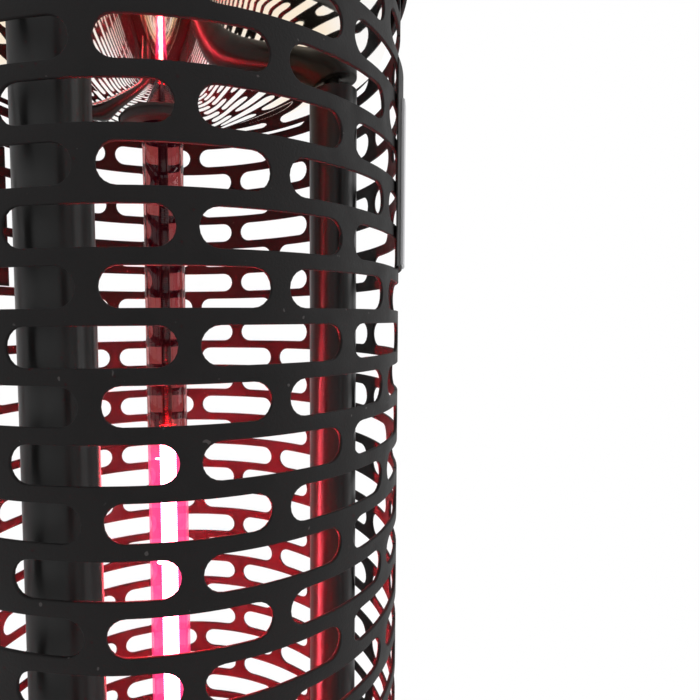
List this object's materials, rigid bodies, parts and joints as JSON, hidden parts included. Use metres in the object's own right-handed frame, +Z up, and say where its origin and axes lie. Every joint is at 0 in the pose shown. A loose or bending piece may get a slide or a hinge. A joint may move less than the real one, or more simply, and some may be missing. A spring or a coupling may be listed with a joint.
{
  "type": "electric patio heater",
  "caption": "Free-standing electric patio heater: upright glowing quartz lamp between posts and mirrors in a slotted black guard, on a weighted round base with a knob and a carrying handle.",
  "frame": {"origin": "on the floor under the middle of the tower", "axes": "+Z up along the lamp and the guard's axis, the control knob faces -Y, +X is to the right seen from the knob"},
  "size_m": [0.2428, 0.249, 0.4622],
  "materials": {
    "guard_black": "fine-textured black powder coat",
    "satin_black": "satin black enamel",
    "mirror": "polished",
    "zinc_steel": "zinc plated",
    "bare_strip": "bare, satin",
    "rubber": "matte",
    "black_plastic": "fine grain",
    "white_plastic": "plain",
    "ceramic": "unglazed, dark",
    "quartz": "clear with a red tint",
    "hot_wire": "glowing",
    "dark_wire": "dull",
    "sleeve": "woven glass fibre sleeve"
  },
  "bodies": {
    "heater": {"base_cover": "guard_black", "base_plate": "guard_black", "base_screw_1": "zinc_steel", "base_screw_2": "zinc_steel", "base_screw_3": "zinc_steel", "base_screw_4": "zinc_steel", "bracket_rivet_left": "zinc_steel", "bracket_rivet_right": "zinc_steel", "cap_pillar_1": "zinc_steel", "cap_pillar_2": "zinc_steel", "cap_pillar_3": "zinc_steel", "cap_screw_1": "satin_black", "cap_screw_2": "satin_black", "cap_screw_3": "satin_black", "cord_gland": "rubber", "filament": "hot_wire", "foot_1": "rubber", "foot_2": "rubber", "foot_3": "rubber", "foot_4": "rubber", "guard_half_left": "guard_black", "guard_half_right": "guard_black", "handle_bracket_left": "guard_black", "handle_bracket_right": "guard_black", "lamp_deck": "guard_black", "lower_lamp_cap": "zinc_steel", "lower_lamp_holder": "ceramic", "lower_lamp_wire": "dark_wire", "lower_lead": "sleeve", "lower_mirror": "mirror", "post_1": "satin_black", "post_2": "satin_black", "post_3": "satin_black", "post_screw_1": "zinc_steel", "post_screw_2": "zinc_steel", "post_screw_3": "zinc_steel", "quartz_tube": "quartz", "rotary_switch": "black_plastic", "seam_plate_left_lower": "bare_strip", "seam_plate_left_upper": "bare_strip", "seam_plate_right_lower": "bare_strip", "seam_plate_right_upper": "bare_strip", "terminal_block": "white_plastic", "thermal_cutout": "zinc_steel", "tip_over_switch": "white_plastic", "top_cap": "guard_black", "upper_lamp_cap": "zinc_steel", "upper_lamp_holder": "ceramic", "upper_lamp_wire": "dark_wire", "upper_lead": "sleeve", "upper_mirror": "mirror"},
    "knob": {"heat_knob": "black_plastic", "switch_spindle": "zinc_steel"},
    "plunger": {"tip_over_plunger": "white_plastic"},
    "handle": {"handle_rod": "satin_black", "handle_grip": "rubber"}
  },
  "joints": [
    {"name": "knob_turn", "type": "hinge", "parent": "heater", "child": "knob", "pos_m": [0, -0.1035, 0.0403], "axis": [0, 0.6072, -0.7945], "range_deg": [0, 180]},
    {"name": "tip_switch_travel", "type": "slide", "parent": "heater", "child": "plunger", "axis": [0, 0, -1], "range_m": [0, 0.005]},
    {"name": "handle_swing", "type": "hinge", "parent": "heater", "child": "handle", "pos_m": [0, 0, 0.4544], "axis": [1, 0, 0], "range_deg": [0, 180]}
  ]
}
